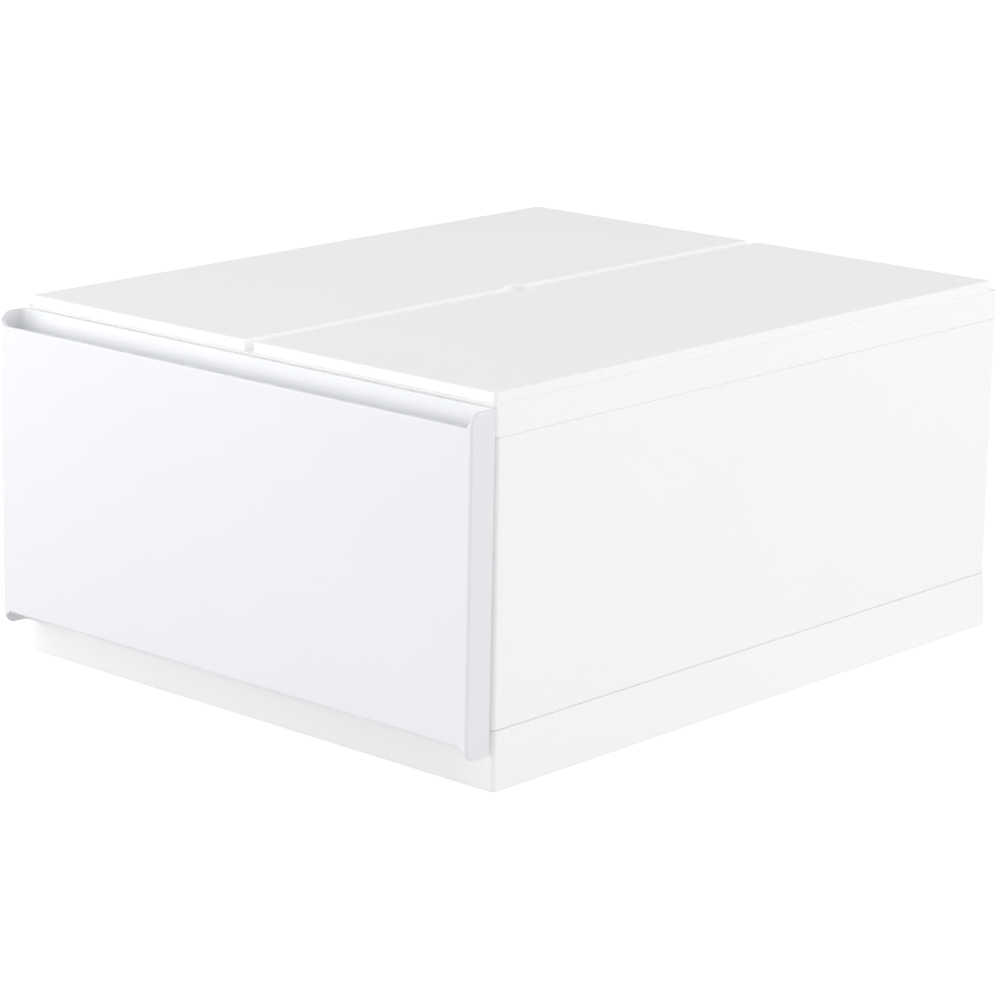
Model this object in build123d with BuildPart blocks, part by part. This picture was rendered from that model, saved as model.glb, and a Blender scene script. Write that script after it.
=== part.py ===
from build123d import *
import os
from math import cos, radians, sin, tan

# Stackable drawer box: a moulded body of five snap-together panels and one drawer with a deep front.
# Millimetres. X runs across the front, Y from the front to the back, Z up.
# The origin is on the surface that the box stands on, in the middle of its footprint.

# ---- driving sizes of the body ----
overall_height = 205.0  # standing surface to the tops of the two pads
body_width = 354.0  # over the side panels, at their upper edge
body_depth = 423.4  # front face to back face, without the drawer's front
wall = 2.0  # wall of every body panel
corner_radius = 3.0  # upright outer corners
parting_gap = 0.6  # shadow groove between a side panel and its neighbours above and below
parting_depth = 0.8  # depth of that groove, in front of the panel's land
land_gap = 0.1  # land to the neighbour that it meets
joint_clearance = 0.2  # tongue in its channel, on each side

pad_rise = 5.7  # pads above the ledge around them
pad_side_inset = 1.6
pad_front_inset = 2.3
pad_back_inset = 4.0
pad_draft = 2.5  # degrees
pad_corner_radius = 2.0
pad_edge_radius = 0.8
groove_width = 7.0  # between the two pads, where the rims of two narrow boxes meet
recess_radius = 9.0  # round widening in the middle of the groove
recess_blend = 4.5

top_reveal = 0.1  # the top plate stands proud of the side panels by this
top_overhang = 1.2  # and of the body's front face by this
band_height = 16.3  # ledge to the upper parting line
band_flare = 0.45  # the band widens by this towards the parting line
rail_height = 2.5  # front lip over the drawer opening

base_height = 31.1
base_reveal = 0.6  # the base stands proud of the side panels by this at its upper edge
base_flare = 2.1  # and widens to the ground by this at the front and the sides
floor_level = 18.0  # upper side of the floor that carries the drawer
foot_edge_radius = 0.8
skirt_wall = 2.6  # the rim lands on the ledge of the box below, around its pads
underside_rib = 1.6
underside_rib_depth = 3.5
underside_rib_rows = 5
underside_rib_columns = 3

panel_lean = 0.9  # each side panel leans inwards by this from its top to its foot
return_width = 7.5  # the side panels' folded edges, front and back
tongue_depth = 11.0
channel_rib_height = 8.0
roof_rib_depth = 5.0
roof_rib_rows = 6

# ---- driving sizes of the drawer ----
drawer_travel = 330.0
stop_gap = 0.6  # left at the lugs when the drawer is fully open
opening_clearance = 1.5  # tub rim to the opening, on each side
runner_height = 2.0
runner_width = 6.0
runner_spread_share = 0.79  # of the body's width
glide_gap = 0.3  # tub over its runners
guide_height = 14.0
guide_clearance = 0.8

tub_wall = 2.0
tub_draft = 1.2  # degrees
tub_corner_radius = 14.0
tub_floor_radius = 8.0
tub_rim_width = 3.0
tub_headroom = 12.0  # tub rim to the rail over it
tub_back_gap = 2.6  # tub rim to the back panel
lug_catch = 3.0  # how far a stop lug reaches behind the folded front edge
lug_height = 16.0
lug_length = 4.0
lug_gusset = 10.0
lug_level = 0.72  # share of the tub's height

front_overhang = 1.2  # flanges beyond the side panels' upper edges, on each side
front_drop = 1.3  # tops of the flanges below the ledge
front_bottom = 19.8
front_depth = 17.6  # back edge of a flange to the face of the sheet
front_lean = 0.8  # degrees, the foot stands further out
front_gap = 0.4  # upper edge of the flanges to the top plate
flange_thickness = 2.0
sheet_thickness = 2.2
recess_wall = 2.0
recess_wall_setback = 2.6  # face of the recessed wall, ahead of the flanges' back edges
flange_corner_radius = 7.0
flange_edge_radius = 1.7
flange_heel_radius = 1.5
sheet_drop = 8.0  # upper edge of the sheet below the tops of the flanges
sheet_lift = 7.0  # lower edge of the sheet above the feet of the flanges
sheet_corner_radius = 3.5
sheet_top_radius = 0.7
sheet_foot_radius = 2.0
grip_wall_radius = 3.0
grip_sheet_radius = 1.2

front_rib_count = 5
front_rib_thickness = 2.0
seat_gap = 0.1
hook_width = 16.0
hook_thickness = 2.4
hook_barb = 1.4
hook_nose = 3.0
hook_clearance = 0.3
hook_spread_share = 0.56  # of the body's width
lower_hook_share = 0.28  # of the tub's height
upper_hook_share = 0.86

# ---- levels and places worked out from them ----
ledge_level = overall_height - pad_rise
upper_parting = ledge_level - band_height
panel_top = upper_parting - parting_gap
panel_foot = base_height + parting_gap
opening_top = ledge_level - rail_height
panel_top_half = body_width / 2
panel_foot_half = panel_top_half - panel_lean
opening_half = panel_foot_half - return_width

lean = radians(front_lean)
front_width = body_width + 2 * front_overhang
front_height = (ledge_level - front_drop - front_bottom) / cos(lean)
front_foot_gap = top_overhang + front_gap + front_height * sin(lean)
front_reach = (
    front_foot_gap
    + (front_depth - flange_corner_radius) * cos(lean)
    - flange_corner_radius * sin(lean)
    + flange_corner_radius
)
body_front = (front_reach - body_depth) / 2
body_back = body_front + body_depth
body_middle = (body_front + body_back) / 2

top_front = body_front - top_overhang
top_foot_half = panel_top_half + top_reveal
top_ledge_half = top_foot_half - band_flare
base_top_half = panel_foot_half + base_reveal
floor_underside = floor_level - wall
runner_spread = body_width * runner_spread_share


def front_back_edge(level):
    """Y of the flanges' leaning back edges at a level."""
    return body_front - front_foot_gap + (level - front_bottom) * tan(lean)


def recess_wall_back(level):
    """Y of the back of the recessed wall at a level."""
    return front_back_edge(level) - (recess_wall_setback - recess_wall)


tongue_top_outer = top_ledge_half - wall - joint_clearance
tongue_foot_outer = base_top_half - wall - joint_clearance
tongue_top_inner = tongue_top_outer - wall
tongue_foot_inner = tongue_foot_outer - wall
tongue_end = body_depth - 2 * (wall + joint_clearance)
back_sheet_back = body_back - wall - joint_clearance
back_sheet_front = back_sheet_back - wall
back_sheet_half = min(tongue_top_inner, tongue_foot_inner) - joint_clearance
channel_back = back_sheet_front - joint_clearance
roof_level = ledge_level - wall

tub_foot = floor_level + runner_height + glide_gap
tub_top = opening_top - tub_headroom
rim_half = opening_half - opening_clearance
rim_front = recess_wall_back(tub_top) + seat_gap
rim_back = channel_back - wall - tub_back_gap
tub_half = rim_half - tub_rim_width
tub_front = rim_front + tub_rim_width
tub_back = rim_back - tub_rim_width


def tub_inset(level):
    """How far the drafted wall of the tub has moved inwards at a level."""
    return (tub_top - level) * tan(radians(tub_draft))


def drafted_block(low, high):
    """A block between two rounded rectangles, each given as level, half width, front, back, radius."""
    with BuildPart() as block:
        for level, half, front, back, radius in (low, high):
            with BuildSketch(Plane.XY.offset(level)):
                with Locations((0, (front + back) / 2)):
                    RectangleRounded(2 * half, back - front, radius)
        loft()
    return block.part


def base_outline(level, inset):
    """The base's outline at a level, moved inwards from its flared sides and front."""
    flare = base_flare * (base_height - level) / base_height
    return (
        level,
        base_top_half + flare - inset,
        body_front - flare + inset,
        body_back - inset,
        corner_radius - inset / 2,
    )


def tub_outline(level, inset):
    """The tub's outline at a level, inside its rim."""
    shift = tub_inset(level) + inset
    return (level, tub_half - shift, tub_front + shift, tub_back - shift, tub_corner_radius - shift)


# ---- top plate: band, ledge and two pads ----
top_shell = drafted_block(
    (upper_parting, top_foot_half, top_front, body_back, corner_radius),
    (ledge_level, top_ledge_half, top_front, body_back, corner_radius),
)
pad_half = top_ledge_half - pad_side_inset
pad_front = top_front + pad_front_inset
pad_back = body_back - pad_back_inset
pad_middle = (pad_front + pad_back) / 2
pad_length = pad_back - pad_front

with BuildPart() as top_plate:
    add(top_shell)
    with BuildSketch(Plane.XY.offset(ledge_level)) as pads:
        with Locations((0, pad_middle)):
            RectangleRounded(2 * pad_half, pad_length, pad_corner_radius)
            Rectangle(groove_width, pad_length + 2 * pad_corner_radius, mode=Mode.SUBTRACT)
            Circle(recess_radius, mode=Mode.SUBTRACT)
        recess_corners = pads.vertices().filter_by_position(
            Axis.Y, pad_middle - recess_radius, pad_middle + recess_radius
        )
        fillet(recess_corners, recess_blend)
    extrude(amount=pad_rise, taper=pad_draft)
    pad_edges = top_plate.faces().filter_by_position(
        Axis.Z, overall_height - pad_edge_radius, overall_height + pad_edge_radius
    ).edges()
    fillet(pad_edges, pad_edge_radius)
    # the hollow under the ledge, and one pocket under each pad
    with BuildSketch(Plane.XY.offset(upper_parting)):
        with Locations((0, (top_front + body_back) / 2)):
            Rectangle(2 * (top_ledge_half - wall), body_back - top_front - 2 * wall)
    extrude(amount=roof_level - upper_parting, mode=Mode.SUBTRACT)
    with BuildSketch(Plane.XY.offset(roof_level)):
        with Locations((0, pad_middle)):
            RectangleRounded(2 * (pad_half - wall), pad_length - 2 * wall, pad_corner_radius)
            Rectangle(groove_width + 2 * wall, pad_length, mode=Mode.SUBTRACT)
            Circle(recess_radius + wall, mode=Mode.SUBTRACT)
    extrude(amount=pad_rise, mode=Mode.SUBTRACT)
    # drawer opening through the front of the band
    with BuildSketch(Plane.XY.offset(upper_parting)):
        with Locations((0, top_front)):
            Rectangle(2 * opening_half, 2 * (wall + parting_gap))
    extrude(amount=opening_top - upper_parting, mode=Mode.SUBTRACT)
    # channel ribs that hold the tongues of the side panels and the back panel
    with BuildSketch(Plane.XY.offset(roof_level - channel_rib_height)):
        for side in (-1, 1):
            with Locations((side * (tongue_top_inner - joint_clearance - wall / 2), body_middle)):
                Rectangle(wall, body_depth - 4 * return_width)
        with Locations((0, channel_back - wall / 2)):
            Rectangle(2 * opening_half, wall)
    extrude(amount=channel_rib_height)
    # cross ribs under the roof, clear of the tub
    roof_rib_reach = tongue_top_inner - joint_clearance - wall / 2
    with BuildSketch(Plane.XY.offset(roof_level - roof_rib_depth)):
        with Locations((0, body_middle)):
            with GridLocations(0, body_depth / (roof_rib_rows + 1), 1, roof_rib_rows):
                Rectangle(2 * roof_rib_reach, underside_rib)
    extrude(amount=roof_rib_depth + pad_rise - wall / 2)
    with BuildSketch(Plane.XY.offset(roof_level + wall)):
        with Locations((0, pad_middle)):
            Rectangle(groove_width, pad_length)
            Circle(recess_radius)
    extrude(amount=pad_rise, mode=Mode.SUBTRACT)
top_plate.part.label = "top_plate"

# ---- base: flared skirt, floor, runners and underside ribs ----
base_shell = drafted_block(base_outline(0, 0), base_outline(base_height, 0))
base_hollow = drafted_block(base_outline(0, skirt_wall), base_outline(floor_underside, skirt_wall))
with BuildPart() as base:
    add(base_shell)
    fillet(base.faces().sort_by(Axis.Z)[0].edges(), foot_edge_radius)
    add(base_hollow, mode=Mode.SUBTRACT)
    with BuildSketch(Plane.XY.offset(floor_level)):
        with Locations((0, body_middle)):
            Rectangle(2 * (base_top_half - wall), body_depth - 2 * wall)
        with Locations((0, body_front)):
            Rectangle(2 * opening_half, 2 * (wall + base_flare))
    extrude(amount=base_height, mode=Mode.SUBTRACT)
    # runners under the tub and guides beside it
    runner_length = body_depth - 4 * return_width
    with BuildSketch(Plane.XY.offset(floor_level)):
        with Locations((0, body_middle)):
            with GridLocations(runner_spread, 0, 2, 1):
                Rectangle(runner_width, runner_length)
    extrude(amount=runner_height)
    guide_half = tub_half - tub_inset(floor_level + guide_height) + guide_clearance + wall / 2
    with BuildSketch(Plane.XY.offset(floor_level)):
        with Locations((0, body_middle)):
            with GridLocations(2 * guide_half, 0, 2, 1):
                Rectangle(wall, runner_length)
    extrude(amount=guide_height)
    # channel ribs that hold the tongues
    with BuildSketch(Plane.XY.offset(floor_level)):
        for side in (-1, 1):
            with Locations((side * (tongue_foot_inner - joint_clearance - wall / 2), body_middle)):
                Rectangle(wall, runner_length)
        with Locations((0, channel_back - wall / 2)):
            Rectangle(2 * opening_half, wall)
    extrude(amount=channel_rib_height)
    # shallow stiffening ribs of the underside
    rib_row_pitch = body_depth / (underside_rib_rows + 1)
    rib_column_pitch = body_width / (underside_rib_columns + 1)
    with BuildSketch(Plane.XY.offset(floor_underside - underside_rib_depth)):
        with Locations((0, body_middle)):
            with GridLocations(0, rib_row_pitch, 1, underside_rib_rows):
                Rectangle(2 * (base_top_half - wall / 2), underside_rib)
            with GridLocations(rib_column_pitch, 0, underside_rib_columns, 1):
                Rectangle(underside_rib, body_depth - wall)
    extrude(amount=underside_rib_depth)
base.part.label = "base"


def side_panel(side):
    """One side panel: a leaning skin, folded front and back edges, a tongue above and one below."""
    step = wall
    with BuildPart() as panel:
        with BuildSketch(Plane.XZ.offset(-body_front)):
            with BuildLine():
                Polyline(
                    (panel_foot_half, panel_foot),
                    (panel_top_half, panel_top),
                    (panel_top_half - wall, panel_top),
                    (panel_foot_half - wall, panel_foot),
                    close=True,
                )
            make_face()
        extrude(amount=-body_depth)
        for face_y, depth in ((body_front, wall), (body_back - wall, wall)):
            with BuildSketch(Plane.XZ.offset(-face_y)):
                with BuildLine():
                    Polyline(
                        (opening_half, panel_foot),
                        (panel_foot_half, panel_foot),
                        (panel_top_half, panel_top),
                        (opening_half, panel_top),
                        close=True,
                    )
                make_face()
            extrude(amount=-depth)
        upright_edges = panel.edges().filter_by(lambda edge: edge.length > panel_top / 2)
        outer_uprights = upright_edges.filter_by(
            lambda edge: edge.center().X > panel_foot_half and abs(edge.tangent_at(0).Z) > cos(lean)
        )
        corner_uprights = outer_uprights.group_by(Axis.Y)[0] + outer_uprights.group_by(Axis.Y)[-1]
        fillet(corner_uprights, corner_radius)
        # a land along the upper and lower ends closes each parting groove from behind
        for level, half, rise in ((panel_top, panel_top_half, 1), (panel_foot, panel_foot_half, -1)):
            with BuildSketch(Plane.XY.offset(level)) as land:
                with Locations((0, body_middle)):
                    land_half = half - parting_depth
                    RectangleRounded(2 * land_half, body_depth - 2 * parting_depth, corner_radius)
                    Rectangle(2 * (half - wall), body_depth - 2 * wall, mode=Mode.SUBTRACT)
                    Rectangle(2 * opening_half, body_depth, mode=Mode.SUBTRACT)
                    with Locations((-half, 0)):
                        Rectangle(2 * half, body_depth, mode=Mode.SUBTRACT)
            extrude(amount=rise * (parting_gap - land_gap))
        with BuildSketch(Plane.XZ.offset(-(body_front + wall + joint_clearance))):
            with BuildLine():
                Polyline(
                    (tongue_top_inner, panel_top - step),
                    (panel_top_half - wall / 2, panel_top - step),
                    (panel_top_half - wall / 2, panel_top),
                    (tongue_top_outer, panel_top),
                    (tongue_top_outer, panel_top + tongue_depth),
                    (tongue_top_inner, panel_top + tongue_depth),
                    close=True,
                )
            make_face()
            with BuildLine():
                Polyline(
                    (tongue_foot_inner, panel_foot + step),
                    (panel_foot_half - wall / 2, panel_foot + step),
                    (panel_foot_half - wall / 2, panel_foot),
                    (tongue_foot_outer, panel_foot),
                    (tongue_foot_outer, panel_foot - tongue_depth),
                    (tongue_foot_inner, panel_foot - tongue_depth),
                    close=True,
                )
            make_face()
        extrude(amount=-tongue_end)
        if side < 0:
            mirror(about=Plane.YZ, mode=Mode.REPLACE)
    return panel.part


right_side_panel = side_panel(1)
right_side_panel.label = "right_side_panel"
left_side_panel = side_panel(-1)
left_side_panel.label = "left_side_panel"

# ---- back panel: a sheet held in the channels, with a raised field flush with the folded edges ----
back_foot = floor_level + joint_clearance
back_top = roof_level - joint_clearance
field_half = opening_half - parting_gap
with BuildPart() as back_panel:
    with BuildSketch(Plane.XZ.offset(-back_sheet_front)):
        with Locations((0, (back_foot + back_top) / 2)):
            Rectangle(2 * back_sheet_half, back_top - back_foot)
    extrude(amount=-wall)
    with BuildSketch(Plane.XZ.offset(-back_sheet_back)):
        with Locations((0, (panel_foot + panel_top) / 2)):
            RectangleRounded(2 * field_half, panel_top - panel_foot, corner_radius)
    extrude(amount=-(wall + joint_clearance))
    with BuildSketch(Plane.XZ.offset(-back_sheet_front)):
        with Locations((0, (panel_foot + panel_top) / 2)):
            RectangleRounded(2 * (field_half - wall), panel_top - panel_foot - 2 * wall, corner_radius)
    extrude(amount=-(wall + joint_clearance), mode=Mode.SUBTRACT)
back_panel.part.label = "back_panel"

# ---- drawer tub: drafted walls, rim, stop lugs and windows for the hooks of the front ----
tub_shell = drafted_block(tub_outline(tub_foot, 0), tub_outline(tub_top, 0))
tub_hollow = drafted_block(tub_outline(tub_foot + tub_wall, tub_wall), tub_outline(tub_top, tub_wall))
lug_foot = tub_foot + (tub_top - tub_foot) * lug_level
lug_front = body_front + wall + drawer_travel + stop_gap
lug_root = tub_half - tub_inset(lug_foot) - tub_wall / 2
lug_reach = opening_half + lug_catch
tub_height = tub_top - tub_foot
hook_levels = (tub_foot + tub_height * lower_hook_share, tub_foot + tub_height * upper_hook_share)
hook_spread = body_width * hook_spread_share
hook_sides = (-hook_spread / 2, hook_spread / 2)
with BuildPart() as hollow_form:
    add(tub_hollow)
    fillet(hollow_form.faces().sort_by(Axis.Z)[0].edges(), tub_floor_radius - tub_wall)
with BuildPart() as drawer_tub:
    add(tub_shell)
    fillet(drawer_tub.faces().sort_by(Axis.Z)[0].edges(), tub_floor_radius)
    with BuildSketch(Plane.XY.offset(tub_top - tub_wall)):
        with Locations((0, (rim_front + rim_back) / 2)):
            RectangleRounded(2 * rim_half, rim_back - rim_front, tub_corner_radius + tub_rim_width)
    extrude(amount=tub_wall)
    add(hollow_form.part, mode=Mode.SUBTRACT)
    with BuildSketch(Plane.XY.offset(lug_foot)):
        with BuildLine():
            Polyline(
                (lug_root, lug_front),
                (lug_reach, lug_front),
                (lug_reach, lug_front + lug_length),
                (lug_root, lug_front + lug_length + lug_gusset),
                close=True,
            )
        make_face()
        mirror(about=Plane.YZ)
    extrude(amount=lug_height)
    for level in hook_levels:
        for middle in hook_sides:
            with Locations((middle, tub_front + tub_inset(level), level + hook_thickness / 2)):
                Box(
                    hook_width + 2 * hook_clearance,
                    4 * tub_wall,
                    hook_thickness + 2 * hook_barb + 2 * hook_clearance,
                    mode=Mode.SUBTRACT,
                )
drawer_tub.part.label = "drawer_tub"

# ---- drawer front: sheet, two flanges, recessed wall, and ribs and hooks behind it ----
front_plan = Plane(
    origin=(0, front_back_edge(front_bottom), front_bottom),
    x_dir=(1, 0, 0),
    z_dir=(0, sin(lean), cos(lean)),
)
front_face = Plane(
    origin=front_plan.from_local_coords((0, -front_depth, 0)),
    x_dir=(1, 0, 0),
    z_dir=-front_plan.y_dir,
)
flank_plane = Plane(origin=front_plan.origin, x_dir=front_plan.y_dir, z_dir=(1, 0, 0))
front_half = front_width / 2
inner_half = front_half - flange_thickness
grip_back = recess_wall_setback
grip_front = front_depth - sheet_thickness
sheet_low = sheet_lift
sheet_high = front_height - sheet_drop
front_rib_pitch = front_width / (front_rib_count + 1 / 2)
rib_low = tub_foot + tub_floor_radius
rib_high = tub_top - tub_wall - seat_gap
with BuildPart() as drawer_front:
    with BuildSketch(front_plan):
        with Locations((0, -front_depth / 2)):
            Rectangle(2 * front_half, front_depth)
    extrude(amount=front_height)
    cross_edges = drawer_front.edges().filter_by(Axis.X)
    fillet(cross_edges.sort_by(Axis.Y)[0:2], flange_corner_radius)
    heel_edge = drawer_front.edges().filter_by(Axis.X).sort_by(Axis.Z)[0:2].sort_by(Axis.Y)[-1]
    fillet(heel_edge, flange_heel_radius)
    for flank in drawer_front.faces().filter_by(Axis.X):
        rim_edges = flank.edges().sort_by(Axis.Y)[:-1]
        fillet(rim_edges, flange_edge_radius)
    # the grip gap between the sheet and the recessed wall runs through from the top to the foot
    with BuildSketch(front_plan) as grip:
        with Locations((0, -(grip_back + grip_front) / 2)):
            Rectangle(2 * inner_half, grip_front - grip_back)
        fillet(grip.vertices().group_by(Axis.Y)[-1], grip_wall_radius)
        fillet(grip.vertices().group_by(Axis.Y)[0], grip_sheet_radius)
    extrude(amount=front_height, mode=Mode.SUBTRACT)
    # the recessed wall is thinner than the flanges' back edges are deep
    with BuildSketch(front_plan):
        with Locations((0, -(recess_wall_setback - recess_wall) / 2)):
            Rectangle(2 * inner_half, recess_wall_setback - recess_wall)
    extrude(amount=front_height, mode=Mode.SUBTRACT)
    # the sheet ends short of the flanges above and below, with concave corners beside them
    with BuildSketch(front_face) as notches:
        with Locations((0, sheet_high + sheet_drop)):
            Rectangle(2 * inner_half, 2 * sheet_drop)
        with Locations((0, sheet_low - sheet_lift)):
            Rectangle(2 * inner_half, 2 * sheet_lift)
        fillet(notches.vertices().filter_by_position(Axis.Y, 0, front_height), sheet_corner_radius)
    extrude(amount=-(sheet_thickness + grip_sheet_radius), mode=Mode.SUBTRACT)
    # the sheet's long edges are rounded between those corners
    for edge_depth, inward, edge_height, upward, radius in (
        (-front_depth, 1, sheet_low, 1, sheet_foot_radius),
        (-front_depth, 1, sheet_high, -1, sheet_top_radius),
        (-grip_front, -1, sheet_high, -1, sheet_top_radius),
    ):
        with BuildSketch(flank_plane):
            with Locations((edge_depth, edge_height)):
                Rectangle(2 * radius, 2 * radius)
            with Locations((edge_depth + inward * radius, edge_height + upward * radius)):
                Circle(radius, mode=Mode.SUBTRACT)
        extrude(amount=inner_half - sheet_corner_radius, both=True, mode=Mode.SUBTRACT)
    # upright ribs behind the recessed wall, which seat the front on the tub's drafted wall
    for place in range(front_rib_count):
        middle = (place - (front_rib_count - 1) / 2) * front_rib_pitch
        with BuildSketch(Plane.YZ.offset(middle - front_rib_thickness / 2)):
            with BuildLine():
                Polyline(
                    (recess_wall_back(rib_low) - recess_wall / 2, rib_low),
                    (tub_front + tub_inset(rib_low) - seat_gap, rib_low),
                    (tub_front + tub_inset(rib_high) - seat_gap, rib_high),
                    (recess_wall_back(rib_high) - recess_wall / 2, rib_high),
                    close=True,
                )
            make_face()
        extrude(amount=front_rib_thickness)
    # snap hooks through the windows of the tub
    for level in hook_levels:
        root = recess_wall_back(level) - recess_wall / 2
        catch = tub_front + tub_inset(level) + tub_wall + hook_clearance
        for middle in hook_sides:
            with BuildSketch(Plane.YZ.offset(middle - hook_width / 2)):
                with BuildLine():
                    Polyline(
                        (root, level),
                        (catch + hook_nose, level),
                        (catch, level + hook_thickness + hook_barb),
                        (catch, level + hook_thickness),
                        (root, level + hook_thickness),
                        close=True,
                    )
                make_face()
            extrude(amount=hook_width)
drawer_front.part.label = "drawer_front"

os.makedirs("parts", exist_ok=True)
export_step(top_plate.part, "parts/top_plate.step")
export_step(left_side_panel, "parts/left_side_panel.step")
export_step(right_side_panel, "parts/right_side_panel.step")
export_step(back_panel.part, "parts/back_panel.step")
export_step(base.part, "parts/base.step")
export_step(drawer_tub.part, "parts/drawer_tub.step")
export_step(drawer_front.part, "parts/drawer_front.step")
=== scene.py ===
"""Stackable drawer box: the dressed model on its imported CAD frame, in metres."""

import logging
import math
from dataclasses import dataclass
from enum import Enum

import bmesh
import bpy
from mathutils import Matrix, Vector


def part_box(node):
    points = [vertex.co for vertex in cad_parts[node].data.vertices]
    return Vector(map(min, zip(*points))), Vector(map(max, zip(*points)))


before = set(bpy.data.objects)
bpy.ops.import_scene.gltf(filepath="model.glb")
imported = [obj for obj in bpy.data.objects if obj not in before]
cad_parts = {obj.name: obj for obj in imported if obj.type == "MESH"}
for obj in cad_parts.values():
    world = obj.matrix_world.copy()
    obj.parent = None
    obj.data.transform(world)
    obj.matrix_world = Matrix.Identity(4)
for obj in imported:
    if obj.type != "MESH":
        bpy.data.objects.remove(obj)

log = logging.getLogger("drawer_box")

MM = 0.001
Colour = tuple[float, float, float]
Point = tuple[float, float, float]
WHITE = (1, 1, 1, 1)

front_low, front_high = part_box("drawer_front")
flange_wall = 1.9 * MM  # outer face of a flange to where the painted light of the inner faces starts
sheet_wall = 3.5 * MM  # foremost point of the front to where the painted light of the inner faces starts


@dataclass(frozen=True)
class PaintedInnerLight:
    """Painted light on the drawer's front: its faces between the flanges and behind the sheet
    get a lighter colour than its outer faces of the same plastic, to lift the shade in the
    recess.
    """

    colour: Colour
    half_width: float
    front: float
    blend: float = 0.4 * MM


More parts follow.
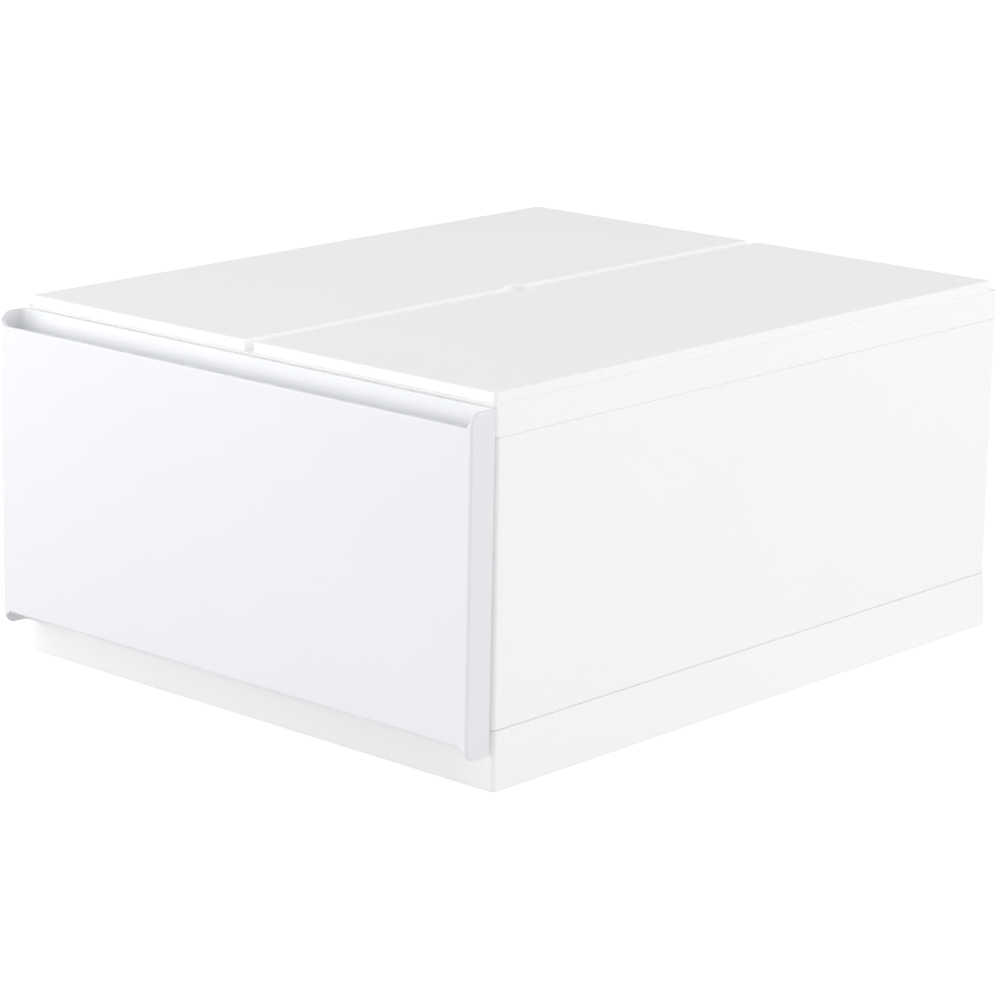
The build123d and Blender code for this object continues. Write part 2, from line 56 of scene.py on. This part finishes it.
@dataclass(frozen=True)
class MouldedPlastic:
    """One white moulded polypropylene finish."""

    name: str
    colour: Colour
    roughness: float
    roughness_spread: float
    grain_scale: float
    grain_height: float
    warp_scale: float
    warp_height: float
    subsurface: float
    # painted light on the drawer front's inner faces, where given
    inner: PaintedInnerLight | None = None
    shade: float = 0.994
    shade_range: tuple[float, float] = (0.35, 0.65)
    drift_scale: float = 9.0
    drift_detail: float = 2.0
    grain_detail: float = 3.0
    warp_detail: float = 1.0
    depth: float = 0.8 * MM
    depth_by_channel: Colour = (1.0, 0.95, 0.9)
    refraction: float = 1.49

    def build(self) -> bpy.types.Material:
        """Makes the node material.

        Returns:
            The material, with colour drift, satin grain and a slow warp of the moulded face.
        """
        material = bpy.data.materials.new(self.name)
        material.use_nodes = True
        nodes, links = material.node_tree.nodes, material.node_tree.links
        nodes.clear()
        output = nodes.new("ShaderNodeOutputMaterial")
        shader = nodes.new("ShaderNodeBsdfPrincipled")
        shader.inputs["Subsurface Weight"].default_value = self.subsurface
        shader.inputs["Subsurface Radius"].default_value = self.depth_by_channel
        shader.inputs["Subsurface Scale"].default_value = self.depth
        shader.inputs["IOR"].default_value = self.refraction
        links.new(shader.outputs["BSDF"], output.inputs["Surface"])
        place = nodes.new("ShaderNodeTexCoord")
        tone = self._drifting_colour(nodes, links, place)
        # painted light: the drawer front's faces between its flanges and behind its sheet get
        # a lighter colour than its outer faces
        if self.inner:
            tone = self._painted_inner_light(nodes, links, place, tone)
        links.new(tone, shader.inputs["Base Color"])
        grain = self._noise(nodes, links, place, self.grain_scale, self.grain_detail)
        polish = nodes.new("ShaderNodeMapRange")
        polish.inputs["To Min"].default_value = self.roughness - self.roughness_spread
        polish.inputs["To Max"].default_value = self.roughness + self.roughness_spread
        links.new(grain, polish.inputs["Value"])
        links.new(polish.outputs["Result"], shader.inputs["Roughness"])
        warp = self._noise(nodes, links, place, self.warp_scale, self.warp_detail)
        slow = self._bump(nodes, links, warp, self.warp_height)
        fine = self._bump(nodes, links, grain, self.grain_height)
        links.new(slow.outputs["Normal"], fine.inputs["Normal"])
        links.new(fine.outputs["Normal"], shader.inputs["Normal"])
        return material

    def _drifting_colour(
        self,
        nodes: bpy.types.Nodes,
        links: bpy.types.NodeLinks,
        place: bpy.types.Node,
    ) -> bpy.types.NodeSocket:
        """Lets the colour drift a little across the piece.

        Args:
            nodes: The material's nodes.
            links: The material's links.
            place: The texture coordinate node.

        Returns:
            The drifting colour.
        """
        drift = self._noise(nodes, links, place, self.drift_scale, self.drift_detail)
        ramp = nodes.new("ShaderNodeValToRGB")
        darker, full = ramp.color_ramp.elements
        darker.position, full.position = self.shade_range
        darker.color = (*[channel * self.shade for channel in self.colour], 1)
        full.color = (*self.colour, 1)
        links.new(drift, ramp.inputs["Fac"])
        return ramp.outputs["Color"]

    def _painted_inner_light(
        self,
        nodes: bpy.types.Nodes,
        links: bpy.types.NodeLinks,
        place: bpy.types.Node,
        tone: bpy.types.NodeSocket,
    ) -> bpy.types.NodeSocket:
        """Paints a lighter colour on the inner faces: painted light that lifts the shade in
        the recess.

        Args:
            nodes: The material's nodes.
            links: The material's links.
            place: The texture coordinate node.
            tone: The colour of the outer faces.

        Returns:
            The colour with the painted light on the inner faces in it.
        """
        inner = self.inner
        # mask of the painted light: between the flanges and behind the sheet
        axes = nodes.new("ShaderNodeSeparateXYZ")
        links.new(place.outputs["Object"], axes.inputs["Vector"])
        side = nodes.new("ShaderNodeMath")
        side.operation = "ABSOLUTE"
        links.new(axes.outputs["X"], side.inputs[0])
        between = nodes.new("ShaderNodeMapRange")
        between.inputs["From Min"].default_value = inner.half_width
        between.inputs["From Max"].default_value = inner.half_width - inner.blend
        links.new(side.outputs["Value"], between.inputs["Value"])
        behind = nodes.new("ShaderNodeMapRange")
        behind.inputs["From Min"].default_value = inner.front
        behind.inputs["From Max"].default_value = inner.front + inner.blend
        links.new(axes.outputs["Y"], behind.inputs["Value"])
        inside = nodes.new("ShaderNodeMath")
        inside.operation = "MULTIPLY"
        links.new(between.outputs["Result"], inside.inputs[0])
        links.new(behind.outputs["Result"], inside.inputs[1])
        both = nodes.new("ShaderNodeMix")
        both.data_type = "RGBA"
        links.new(inside.outputs["Value"], both.inputs["Factor"])
        links.new(tone, both.inputs["A"])
        both.inputs["B"].default_value = (*inner.colour, 1)
        return both.outputs["Result"]

    @staticmethod
    def _noise(
        nodes: bpy.types.Nodes,
        links: bpy.types.NodeLinks,
        place: bpy.types.Node,
        scale: float,
        detail: float,
    ) -> bpy.types.NodeSocket:
        """Adds one noise pattern on the piece's own coordinates.

        Args:
            nodes: The material's nodes.
            links: The material's links.
            place: The texture coordinate node.
            scale: Cells per metre.
            detail: Octaves.

        Returns:
            The noise, from 0 to 1.
        """
        noise = nodes.new("ShaderNodeTexNoise")
        noise.inputs["Scale"].default_value = scale
        noise.inputs["Detail"].default_value = detail
        links.new(place.outputs["Object"], noise.inputs["Vector"])
        return noise.outputs["Fac"]

    @staticmethod
    def _bump(
        nodes: bpy.types.Nodes,
        links: bpy.types.NodeLinks,
        height: bpy.types.NodeSocket,
        distance: float,
    ) -> bpy.types.Node:
        """Adds one relief.

        Args:
            nodes: The material's nodes.
            links: The material's links.
            height: The pattern of the relief.
            distance: Its height in metres.

        Returns:
            The bump node.
        """
        bump = nodes.new("ShaderNodeBump")
        bump.inputs["Distance"].default_value = distance
        links.new(height, bump.inputs["Height"])
        return bump


class Finish(Enum):
    """The box's two finishes, after the record's material slots."""

    BODY_WHITE = MouldedPlastic(
        name="satin_body_white",
        colour=(0.966, 0.966, 0.962),
        roughness=0.42,
        roughness_spread=0.05,
        grain_scale=2400.0,
        grain_height=0.004 * MM,
        warp_scale=14.0,
        warp_height=0.05 * MM,
        subsurface=0.06,
    )
    DRAWER_WHITE = MouldedPlastic(
        name="gloss_drawer_white_painted_recess_light",
        colour=(0.84, 0.844, 0.87),
        roughness=0.2,
        roughness_spread=0.03,
        grain_scale=1600.0,
        grain_height=0.001 * MM,
        warp_scale=11.0,
        warp_height=0.25 * MM,
        subsurface=0.12,
        # painted light: a lighter colour on the recess wall and the flanges' inner faces, to
        # lift their shade
        inner=PaintedInnerLight(
            colour=(0.966, 0.974, 0.995),
            half_width=front_high.x - flange_wall,
            front=front_low.y + sheet_wall,
        ),
    )


CARRIED: dict[Finish, tuple[str, ...]] = {
    Finish.BODY_WHITE: (
        "top_plate",
        "left_side_panel",
        "right_side_panel",
        "back_panel",
        "base",
    ),
    Finish.DRAWER_WHITE: ("drawer_tub", "drawer_front"),
}


@dataclass(frozen=True)
class CarriedNode:
    """A CAD node that stays in view, with softened edges and its own finish."""

    node: str
    material: bpy.types.Material
    edge_radius: float = 0.2 * MM
    edge_segments: int = 2
    edge_from: float = math.radians(40)
    weld_within: float = 0.001 * MM
    flat_within: float = math.radians(0.5)

    def build(self) -> None:
        """Dresses the node."""
        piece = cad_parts[self.node]
        piece.data.materials.clear()
        piece.data.materials.append(self.material)
        weld = piece.modifiers.new("weld", "WELD")
        weld.merge_threshold = self.weld_within
        flat = piece.modifiers.new("flat", "DECIMATE")
        flat.decimate_type = "DISSOLVE"
        flat.angle_limit = self.flat_within
        bevel = piece.modifiers.new("edges", "BEVEL")
        bevel.width = self.edge_radius
        bevel.segments = self.edge_segments
        bevel.limit_method = "ANGLE"
        bevel.angle_limit = self.edge_from
        bevel.harden_normals = False
        normals = piece.modifiers.new("normals", "WEIGHTED_NORMAL")
        normals.keep_sharp = True


@dataclass(frozen=True)
class Softbox:
    """One rectangular softbox: its middle, the point it faces, its size and its watts."""

    name: str
    place: Point
    aim: Point
    size: tuple[float, float]
    power: float

    def build(self) -> None:
        """Adds the lamp."""
        data = bpy.data.lights.new(self.name, "AREA")
        data.shape = "RECTANGLE"
        data.size, data.size_y = self.size
        data.energy = self.power
        lamp = bpy.data.objects.new(self.name, data)
        bpy.context.collection.objects.link(lamp)
        lamp.location = self.place
        lamp.rotation_mode = "QUATERNION"
        beam = Vector(self.aim) - Vector(self.place)
        lamp.rotation_quaternion = beam.to_track_quat("-Z", "Y")


SOFTBOXES = (
    Softbox("left_softbox", (-0.9, -1.05, 1.0), (-0.1, -0.22, 0.1), (1.0, 1.6), 5.4),
    Softbox("low_left_softbox", (-1.2, -1.3, 0.22), (-0.1, -0.22, 0.05), (0.9, 0.4), 4.4),
    Softbox("low_front_softbox", (0.1, -1.8, 0.25), (0.1, -0.22, 0.05), (1.4, 0.4), 2.8),
    Softbox("right_softbox", (2.0, 1.3, 1.3), (0.18, 0.05, 0.1), (1.4, 1.9), 21.0),
)


@dataclass(frozen=True)
class Studio:
    """Floor, soft lamps, world and the camera."""

    softboxes: tuple[Softbox, ...] = SOFTBOXES
    world_strength: float = 0.68
    seen_strength: float = 1.0
    floor_size: float = 24.0
    floor_colour: Colour = (0.88, 0.88, 0.88)
    floor_lift: float = 0.5
    all_bounces: int = 24
    diffuse_bounces: int = 16
    lens: float = 129.395
    sensor: float = 36.0
    clip_range: tuple[float, float] = (0.01, 100.0)
    camera_place: Point = (1.33681, -1.46302, 0.59004)
    camera_turn: Point = (75.6513, 42.5208, 0.59597)

    def build(self) -> None:
        """Sets up everything round the box."""
        scene = bpy.context.scene
        scene.view_settings.view_transform = "Standard"
        scene.cycles.max_bounces = self.all_bounces
        scene.cycles.diffuse_bounces = self.diffuse_bounces
        self._camera()
        self._world()
        self._floor()
        for softbox in self.softboxes:
            softbox.build()

    def _camera(self) -> None:
        """The photograph's view: pitch from straight down, turn about Z and a slight roll."""
        data = bpy.data.cameras.new("camera")
        data.sensor_width = self.sensor
        data.lens = self.lens
        data.clip_start, data.clip_end = self.clip_range
        camera = bpy.data.objects.new("camera", data)
        bpy.context.collection.objects.link(camera)
        pitch, turn, roll = (math.radians(angle) for angle in self.camera_turn)
        camera.matrix_world = (
            Matrix.Translation(self.camera_place)
            @ Matrix.Rotation(turn, 4, "Z")
            @ Matrix.Rotation(pitch, 4, "X")
            @ Matrix.Rotation(roll, 4, "Z")
        )
        bpy.context.scene.camera = camera

    def _world(self) -> None:
        """Even white surroundings."""
        world = bpy.data.worlds.new("surroundings")
        world.use_nodes = True
        nodes, links = world.node_tree.nodes, world.node_tree.links
        nodes.clear()
        output = nodes.new("ShaderNodeOutputWorld")
        rays = nodes.new("ShaderNodeLightPath")
        strength = nodes.new("ShaderNodeMix")
        strength.inputs["A"].default_value = self.world_strength
        strength.inputs["B"].default_value = self.seen_strength
        links.new(rays.outputs["Is Camera Ray"], strength.inputs["Factor"])
        sky = nodes.new("ShaderNodeBackground")
        sky.inputs["Color"].default_value = WHITE
        links.new(strength.outputs["Result"], sky.inputs["Strength"])
        links.new(sky.outputs["Background"], output.inputs["Surface"])
        bpy.context.scene.world = world

    def _floor(self) -> None:
        """A wide pale floor that the camera sees as white, with the box's shadow on it."""
        mesh = bpy.data.meshes.new("floor")
        shape = bmesh.new()
        bmesh.ops.create_grid(
            shape, x_segments=1, y_segments=1, size=self.floor_size / 2
        )
        shape.to_mesh(mesh)
        shape.free()
        floor = bpy.data.objects.new("floor", mesh)
        bpy.context.collection.objects.link(floor)
        mesh.materials.append(self._floor_paint())

    def _floor_paint(self) -> bpy.types.Material:
        """Makes the floor's paint.

        Returns:
            A matt paint with some added light that only the camera sees.
        """
        material = bpy.data.materials.new("pale_floor")
        material.use_nodes = True
        nodes, links = material.node_tree.nodes, material.node_tree.links
        nodes.clear()
        output = nodes.new("ShaderNodeOutputMaterial")
        paint = nodes.new("ShaderNodeBsdfDiffuse")
        paint.inputs["Color"].default_value = (*self.floor_colour, 1)
        glow = nodes.new("ShaderNodeEmission")
        rays = nodes.new("ShaderNodeLightPath")
        lift = nodes.new("ShaderNodeMath")
        lift.operation = "MULTIPLY"
        lift.inputs[1].default_value = self.floor_lift
        links.new(rays.outputs["Is Camera Ray"], lift.inputs[0])
        links.new(lift.outputs["Value"], glow.inputs["Strength"])
        both = nodes.new("ShaderNodeAddShader")
        links.new(paint.outputs["BSDF"], both.inputs[0])
        links.new(glow.outputs["Emission"], both.inputs[1])
        links.new(both.outputs["Shader"], output.inputs["Surface"])
        return material


def main() -> None:
    """Builds the box and its surroundings."""
    logging.basicConfig(level=logging.INFO, format="%(name)s: %(message)s")
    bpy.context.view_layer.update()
    for finish, names in CARRIED.items():
        material = finish.value.build()
        for name in names:
            CarriedNode(name, material).build()
            log.info("dressed %s", name)
    Studio().build()


if __name__ == "__main__":
    main()
